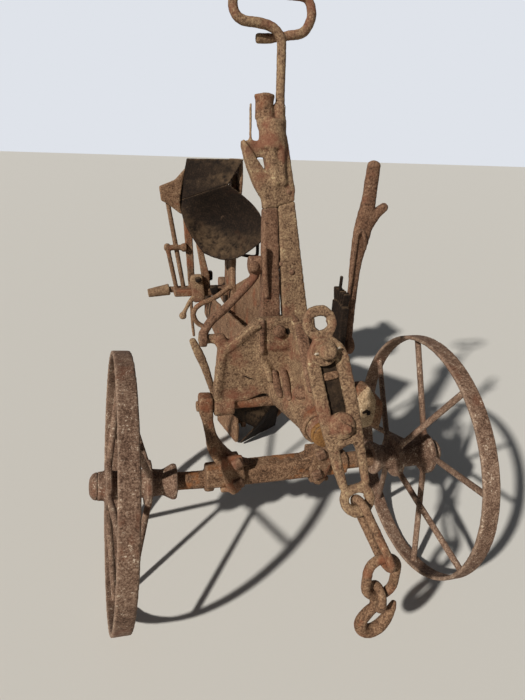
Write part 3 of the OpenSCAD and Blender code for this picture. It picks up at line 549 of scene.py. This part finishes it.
def worn_copy(name):
    """Copy of a CAD node as one closed mesh: triangles merged, points moved, and raised forms added."""
    mesh = NODES[name].data.copy()
    mesh.name = name + "_worn"
    bm = bmesh.new()
    bm.from_mesh(mesh)
    bmesh.ops.remove_doubles(bm, verts=bm.verts, dist=SOLID_MERGE)
    bm.to_mesh(mesh)
    if name in RESHAPE:
        points = np.empty(len(mesh.vertices) * 3)
        mesh.vertices.foreach_get("co", points)
        mesh.vertices.foreach_set("co", RESHAPE[name](points.reshape(-1, 3) / MM).ravel() * MM)
    if name in RAISED:
        bm.clear()
        bm.from_mesh(mesh)
        bm.from_mesh(closed_mesh("raised", RAISED[name]))
        bm.to_mesh(mesh)
    bm.free()
    return mesh


class PLOUGH_OT_worn_iron(bpy.types.Operator):
    """Gives every solid its rusted finish, on a copy whose corners are worn round"""

    bl_idname = "plough.worn_iron"
    bl_label = "Worn iron"

    def execute(self, context):
        make_materials(context.scene.plough)
        TEXTURES[PITS] = clouds(PITS, 6)
        TEXTURES[LUMPS] = clouds(LUMPS, 50)
        for name, slot in SLOT_OF.items():
            NODES[name].data.materials.clear()
            NODES[name].data.materials.append(MATERIALS[slot])
            if name in REBUILT:
                continue
            cell, rounds, pit, lumps = WEAR[slot]
            obj = place(name + "_worn", worn_copy(name), FINISH.get(name, slot), name, (name,))
            wear(obj, CELLS.get(name, cell), ROUNDS.get(name, rounds), pit, lumps)
        return {"FINISHED"}


class PLOUGH_OT_tilt_lever(bpy.types.Operator):
    """Forged tilt lever that forks into a long and a short tip, its latch rod and the quadrant's pin"""

    bl_idname = "plough.tilt_lever"
    bl_label = "Tilt lever"

    def execute(self, context):
        long_tip = [
            (116, -346, 626, 9, 7),
            (114, -347, 698, 8, 7),
            (112, -348, 762, 9, 7),
            (112, -348, 818, 12, 7.5),
            (116, -348, 861, 16, 8),
            (120, -348, 894, 17, 8),
            (123, -348, 935, 13, 8),
            (124, -348, 970, 12.5, 8),
            (125, -348, 1004, 11.5, 8),
        ]
        short_tip = [
            (112, -348, 858, 9, 7.5),
            (127, -348, 889, 11, 8),
            (143, -348, 911, 9, 8),
            (162, -348, 926, 8, 7.5),
        ]
        pivot = (118, -346, 640)
        collar = turned(pivot, (1, 0, 0), [(0.1, -8), (16, -8), (18, -5), (18, 5), (16, 8), (0.1, 8)])
        pin = turned(pivot, (-1, 0, 0), [(0.1, 0), (8, 0), (8, 42), (0.1, 42)])
        forging = (bar(long_tip, count=80), bar(short_tip), collar, pin)
        worn = (0.85, 5, 1, 1.6)
        new_piece("tilt_lever_forging", forging, "red_scale_and_shade", "tilt_lever", ("tilt_lever",), worn)

        latch = [
            (104, -358, 869, 3, 3),
            (102, -358, 819, 3.5, 3),
            (101, -358, 764, 3.5, 3),
            (100, -356, 706, 3, 3),
        ]
        trigger = [
            (103, -357, 860, 3, 3),
            (104, -359, 874, 3.5, 3.5),
            (113, -359, 878, 4, 4),
            (120, -359, 862, 4, 4),
            (123, -357, 842, 3, 3.5),
        ]
        new_piece("latch_rod", (bar(latch), bar(trigger)), "red_scale_and_shade", "lever_latch", ("lever_latch",))
        quadrant_pin = rod([(86, -346, 745), (87, -346, 790)], 3)
        new_piece("quadrant_pin", (quadrant_pin,), "dark_rust", "tilt_quadrant")
        return {"FINISHED"}


class PLOUGH_OT_draft_bolts(bpy.types.Operator):
    """Both bolts of the draft plate, one with cupped washer, round nut and split pin, one with stepped
    disc and small nut, and in its slot a wedge and a dark sheet of painted shade"""

    bl_idname = "plough.draft_bolts"
    bl_label = "Draft bolts"

    def execute(self, context):
        origin, across, through, up = DRAFT_FRAME
        out = -unit(through)
        upper = np.array((3.5, -520.2, 709.5)) - 18 * out
        lower = np.array((27.5, -572, 589.5)) - 24 * out
        washer = [(0.1, 0), (22, 0), (24, 2), (23, 5), (18, 4), (0.1, 4)]
        round_nut = [(0.1, 0), (14.5, 0), (15, 12), (14, 19), (11, 22), (0.1, 23)]
        five_lobed = ring() * (1 + 0.03 * np.cos(5 * np.linspace(0, 6.2, 40)))[:, None]
        disc = [(0.1, 0), (23, 0), (24, 3), (23, 9), (19, 12), (15, 13), (14, 15), (0.1, 15)]
        small_nut = [(0.1, 0), (7, 0), (7, 9), (6, 11), (0.1, 11)]
        stud = [(0.1, 0), (7, 0), (6, 3), (3, 5), (0.1, 5)]
        bolts = (
            turned(upper + (-3, 0, -1), out, washer),
            turned(upper + (1, 0, 1), out, round_nut, five_lobed),
            turned(lower, out, disc),
            turned(lower + 14 * out + (5, -1, -3), out, small_nut, hexagon(0.3)),
            turned(lower + 12 * out + (-3, 1, 5), out, stud),
        )
        worn = (0.45, 3, 0.5, 0.6)
        new_piece("draft_bolts_set", bolts, "pale_casting", "draft_bolts", ("draft_bolts",), worn)

        plate_axes = (across, through, up)
        # Painted shade: a dark sheet in the slot stands for the shade that the plate's bar casts there
        shade_sheet = pebble(origin + 75 * up + 4 * through, (15, 2.5, 52), plate_axes, 0.3)
        new_piece("slot_shade_sheet", (shade_sheet,), "dark_rust", "draft_plate")
        wedge = pebble(origin + 97 * up + 0.5 * through, (14, 3, 7), plate_axes, 0.5)
        new_piece("slot_wedge", (wedge,), "orange_rust", "draft_plate")
        centre = upper + 8 * out
        split_pin = [
            (*(centre + (-21, 0, -4)), 1.9, 1.9),
            (*centre, 1.9, 1.9),
            (*(centre + (19, 0, 4)), 1.9, 1.9),
            (*(centre + (25, -1, 8)), 1.7, 1.7),
        ]
        new_piece("split_pin", (bar(split_pin),), "pale_steel", "draft_bolts")
        return {"FINISHED"}


class PLOUGH_OT_head_fittings(bpy.types.Operator):
    """Bolts, rivets, strap, ribs and bent latch bar of the head and column"""

    bl_idname = "plough.head_fittings"
    bl_label = "Head fittings"

    def execute(self, context):
        bolt = [(0.1, -4), (11.5, -4), (11.5, 9), (9.5, 12), (0.1, 12.5)]
        dome = np.array([(0.1, -3), (1, -3), (1, 0), (0.85, 0.35), (0.5, 0.6), (0.1, 0.7)])
        leg_front = (0, -0.99, 0.14)
        strap = [(-51, -265, 832, 5, 5), (-48, -266, 782, 5, 6), (-42, -270, 722, 5, 5)]
        fasteners = (
            turned((-21, -299, 661), (0.1, -1, 0.1), bolt, hexagon(0.2)),
            turned((11, -262, 775), leg_front, dome * 5.5),
            turned((-12, -257, 791), leg_front, dome * 4.5),
            turned((0.7, -238, 932), leg_front, dome * 5),
            turned((15, -299, 679), FRONT, dome * 8),
            bar(strap),
            pebble((-70, -258, 787), (11, 8, 11), square=0.8),
        )
        new_piece("head_fasteners", fasteners, "red_scale_and_shade", "head_casting", worn=(0.5, 2, 0.5, 0.6))

        left_rib = [
            (-27, -299, 570, 6, 6),
            (-23, -305, 554, 7, 7),
            (-25, -333, 545, 7, 7),
            (-25, -362, 537, 5, 5),
        ]
        right_rib = [
            (-7, -301, 570, 6, 6),
            (-9, -337, 561, 7, 7),
            (-14, -366, 553, 7, 7),
            (-15, -392, 546, 5, 5),
        ]
        flat_rib = [(20, -310, 681, 11, 5), (20, -373, 629, 12, 5), (20, -431, 581, 11, 5)]
        red_ridge = [(-57, -302, 688, 4.5, 4), (-56, -303, 652, 5, 4), (-54, -302, 612, 4.5, 4)]
        web_nut = [(0.1, -6), (14, -6), (14, 9), (11, 14), (5, 17), (0.1, 17)]
        ribs = (
            bar(left_rib, (0, 1, -1)),
            bar(right_rib, (0, 1, -1)),
            bar(flat_rib, (0, 0.64, -0.77), 0.4),
            bar(red_ridge),
            turned((8, -399, 566), (-0.75, -0.6, 0.25), web_nut, hexagon(0.5)),
        )
        new_piece("barrel_ribs", ribs, "red_scale_and_shade", "head_casting", worn=(0.7, 3, 1, 1.2))

        latch_bar = [
            (-199, -268, 640, 6, 5),
            (-185, -268, 607, 9, 5),
            (-171, -268, 571, 8, 5),
            (-156, -268, 520, 6, 5),
            (-150, -270, 496, 6, 5),
        ]
        new_piece("latch_bar", (bar(latch_bar),), "pale_casting", "head_casting", worn=(0.7, 3, 1, 1.2))
        crack = [(-93, -296, 560, 0.9, 1.2), (-80, -296, 553, 1.5, 1.2), (-68, -296, 549, 0.9, 1.2)]
        # Painted shade: a dark patch right of the bolt stands for the shade in the gap beside it
        gap_shade = pebble((-1, -301, 659), (4.5, 1.6, 8), leaning(0.3), 0.8)
        new_piece("head_marks", (bar(crack), gap_shade), "dark_rust", "head_casting")
        return {"FINISHED"}


class PLOUGH_OT_stop_block(bpy.types.Operator):
    """Dry pale face of the right stop, paler by painted light, with dark patches of painted shade for the
    hollow where the casting broke
    """

    bl_idname = "plough.stop_block"
    bl_label = "Stop block"

    def execute(self, context):
        corners = [(184, 508), (207, 486), (221, 442), (219, 422), (195, 416), (182, 438), (171, 484)]
        centre = np.mean(corners, 0)
        back_y = -296
        # The curve runs back to its first corner, which is left out, and x is turned over because the block
        # is seen from the front
        loop = smooth_path([(*corner, 0) for corner in corners + corners[:1]], 57)[:-1, :2]
        outline = (loop - centre) * (-1, 1)
        profile = [(0.1, 0), (1.05, 0), (1.08, 16), (1.03, 22), (0.9, 24), (0.1, 24.5)]
        face = turned((centre[0], back_y, centre[1]), FRONT, profile, outline)
        # Painted light: the face's finish is a paler copy of the casting's rust
        new_piece("stop_block_face", (face,), "pale_lit_casting", "right_stop_arm", worn=(0.6, 4, 1, 2))
        # Painted shade: dark patches on the face stand for the shade in the hollow where the casting broke
        hollow = (
            pebble((191, -322.5, 459), (8, 1.6, 4), leaning(0.5), 0.9),
            pebble((200, -322.5, 454), (5, 1.6, 6), square=0.9),
        )
        new_piece("stop_block_break_shade", hollow, "dark_rust", "right_stop_arm")
        return {"FINISHED"}


class PLOUGH_OT_beam_fittings(bpy.types.Operator):
    """Bronze disc on the beam's nose, latch casting, rods and nuts on its left braces, and the hanger
    under the upper mouldboard"""

    bl_idname = "plough.beam_fittings"
    bl_label = "Beam fittings"

    def execute(self, context):
        beam_axis = (0, -0.998, 0.063)
        profile = [(0.1, -1), (20, -1), (21, 1), (20, 4), (16, 5), (3.2, 5), (2.8, 2), (0.1, 2)]
        disc = turned((20, -506, 531), beam_axis, profile)
        new_piece("nose_disc", (disc,), "bronze", "nose_washer", worn=(0.35, 2, 0.4, 0.4))

        tail = [
            (-118, 350, 532, 7, 6),
            (-138, 348, 508, 7, 6),
            (-152, 346, 484, 6, 6),
            (-161, 345, 466, 9, 9),
        ]
        casting = (
            pebble((-112, 352, 552), (20, 9, 46), leaning(0.12), 0.35),
            bar(tail),
            pebble((-162, 345, 462), (12, 12, 11), square=0.8),
        )
        new_piece("latch_casting", casting, "pale_casting", "upper_braces", worn=(1, 4, 1, 2))

        hook = [
            (-2, 318, 557),
            (-14, 316, 564),
            (-31, 314, 553),
            (-54, 314, 536),
            (-78, 316, 522),
            (-99, 322, 512),
            (-121, 322, 496),
            (-130, 322, 475),
            (-122, 322, 450),
            (-104, 322, 434),
            (-86, 322, 430),
        ]
        thin_rod = [(-134, 347, 520), (-132, 345, 450), (-126, 345, 386)]
        rods = (rod(hook, 7.5, facing=(0, 1, 0.05), square=1, count=70), rod(thin_rod, 4.5, square=1))
        new_piece("hooked_rod", rods, "forged_rust", "upper_braces", worn=(0.9, 3, 1, 1.6))

        hanger = [
            (68, 300, 712),
            (69, 300, 690),
            (68, 300, 672),
            (58, 300, 667),
            (36, 302, 669),
            (10, 306, 674),
        ]
        new_piece("board_hanger", (rod(hanger, 5, square=0.8),), "dark_rust", "upper_mouldboard")
        nuts = (
            pebble((-58, 350, 546), (13, 10, 14), leaning(0.3), 0.5),
            pebble((-72, 386, 584), (13, 9, 16), square=0.4),
            pebble((-112, 340, 584), (9, 9, 9), square=0.7),
        )
        new_piece("brace_nuts", nuts, "dark_rust", "upper_braces")
        return {"FINISHED"}


# Stage and camera, in metres and radians

SUN_HEADING, SUN_FALL = math.radians(51.4), math.radians(33.7)
SUN_ANGLE = math.radians(2)
CAMERA_PLACE = (-0.30385, -1.27079, 1.06428)
CAMERA_HEADING, CAMERA_FALL, CAMERA_ROLL = 0.2522, 0.4181, 0.0489
# The focal length and the photograph's height in pixels give the lens on a sensor as tall as SENSOR, in mm
FOCAL_PIXELS, PHOTO_HEIGHT, SENSOR = 521.675, 700, 36


def direction(heading, fall):
    """Unit vector that is turned by heading from +y towards +x, and falls below level by an angle."""
    level = math.cos(fall)
    return Vector((math.sin(heading) * level, math.cos(heading) * level, -math.sin(fall)))


class PLOUGH_OT_stage(bpy.types.Operator):
    """Pale floor, soft light and the camera at the photograph's angle"""

    bl_idname = "plough.stage"
    bl_label = "Stage"

    def execute(self, context):
        scene = context.scene
        self.lay_floor(scene)
        self.light(scene)
        self.set_camera(scene)
        scene.view_settings.view_transform = "Standard"
        return {"FINISHED"}

    def lay_floor(self, scene):
        """Square of pale matt floor under the plough."""
        half = scene.plough.floor_side / 2
        mesh = bpy.data.meshes.new("floor")
        corners = [(-half, -half, 0), (half, -half, 0), (half, half, 0), (-half, half, 0)]
        mesh.from_pydata(corners, [], [(0, 1, 2, 3)])
        floor = bpy.data.objects.new("floor", mesh)
        scene.collection.objects.link(floor)
        m = bpy.data.materials.new("pale_floor")
        m.use_nodes = True
        shader = m.node_tree.nodes["Principled BSDF"].inputs
        shader["Base Color"].default_value = linear("#d4d2cc")
        shader["Roughness"].default_value = 0.9
        mesh.materials.append(m)

    def light(self, scene):
        """Warm sun, and a sky whose light is weak but which is seen at full strength: its strength is
        sky + (1 - sky) * seen, where seen is 1 for camera, glossy and transmission rays."""
        sky = scene.plough.sky_power
        world = bpy.data.worlds.new("soft_sky")
        scene.world = world
        world.use_nodes = True
        t = world.node_tree
        rays = node(t, "LightPath").outputs
        seen = 0.0
        for ray in ("Is Camera Ray", "Is Glossy Ray", "Is Transmission Ray"):
            seen = node(t, "Math", (0, seen), (1, rays[ray]), operation="ADD").outputs["Value"]
        sockets = (0, seen), (1, 1 - sky), (2, sky)
        strength = node(t, "Math", *sockets, operation="MULTIPLY_ADD").outputs["Value"]
        background = t.nodes["Background"].inputs
        background["Color"].default_value = linear("#dfe3ea")
        t.links.new(strength, background["Strength"])

        key = bpy.data.lights.new("key", "SUN")
        key.energy = scene.plough.key_power
        key.angle = SUN_ANGLE
        key.color = (1.0, 0.96, 0.9)
        lamp = bpy.data.objects.new("key", key)
        lamp.rotation_mode = "QUATERNION"
        lamp.rotation_quaternion = direction(SUN_HEADING, SUN_FALL).to_track_quat("-Z", "Y")
        scene.collection.objects.link(lamp)

    def set_camera(self, scene):
        """Camera that looks forward, with its level axes turned by the roll."""
        forward = direction(CAMERA_HEADING, CAMERA_FALL)
        level = Vector((math.cos(CAMERA_HEADING), -math.sin(CAMERA_HEADING), 0))
        rise = level.cross(forward)
        right = level * math.cos(CAMERA_ROLL) + rise * math.sin(CAMERA_ROLL)
        up = rise * math.cos(CAMERA_ROLL) - level * math.sin(CAMERA_ROLL)
        data = bpy.data.cameras.new("camera")
        data.lens = FOCAL_PIXELS / PHOTO_HEIGHT * SENSOR
        data.sensor_width = SENSOR
        data.clip_start = 0.05
        data.clip_end = 60
        camera = bpy.data.objects.new("camera", data)
        turn = Matrix((right, up, -forward)).transposed().to_4x4()
        camera.matrix_world = Matrix.Translation(CAMERA_PLACE) @ turn
        scene.collection.objects.link(camera)
        scene.camera = camera


OPERATORS = (
    PLOUGH_OT_worn_iron,
    PLOUGH_OT_tilt_lever,
    PLOUGH_OT_draft_bolts,
    PLOUGH_OT_head_fittings,
    PLOUGH_OT_stop_block,
    PLOUGH_OT_beam_fittings,
    PLOUGH_OT_stage,
)


class PLOUGH_PT_panel(bpy.types.Panel):
    """Lists the plough's settings and the steps that dress it"""

    bl_idname = "PLOUGH_PT_panel"
    bl_label = "Plough"
    bl_space_type = "VIEW_3D"
    bl_region_type = "UI"
    bl_category = "Plough"

    def draw(self, context):
        for name in PloughSettings.__annotations__:
            self.layout.prop(context.scene.plough, name)
        for operator in OPERATORS:
            self.layout.operator(operator.bl_idname)


CLASSES = (PloughSettings, *OPERATORS, PLOUGH_PT_panel)


def register():
    for cls in CLASSES:
        bpy.utils.register_class(cls)
    bpy.types.Scene.plough = bpy.props.PointerProperty(type=PloughSettings)


def unregister():
    del bpy.types.Scene.plough
    for cls in reversed(CLASSES):
        bpy.utils.unregister_class(cls)


def main():
    register()
    bpy.ops.plough.worn_iron()
    bpy.ops.plough.tilt_lever()
    bpy.ops.plough.draft_bolts()
    bpy.ops.plough.head_fittings()
    bpy.ops.plough.stop_block()
    bpy.ops.plough.beam_fittings()
    bpy.ops.plough.stage()


if __name__ == "__main__":
    main()
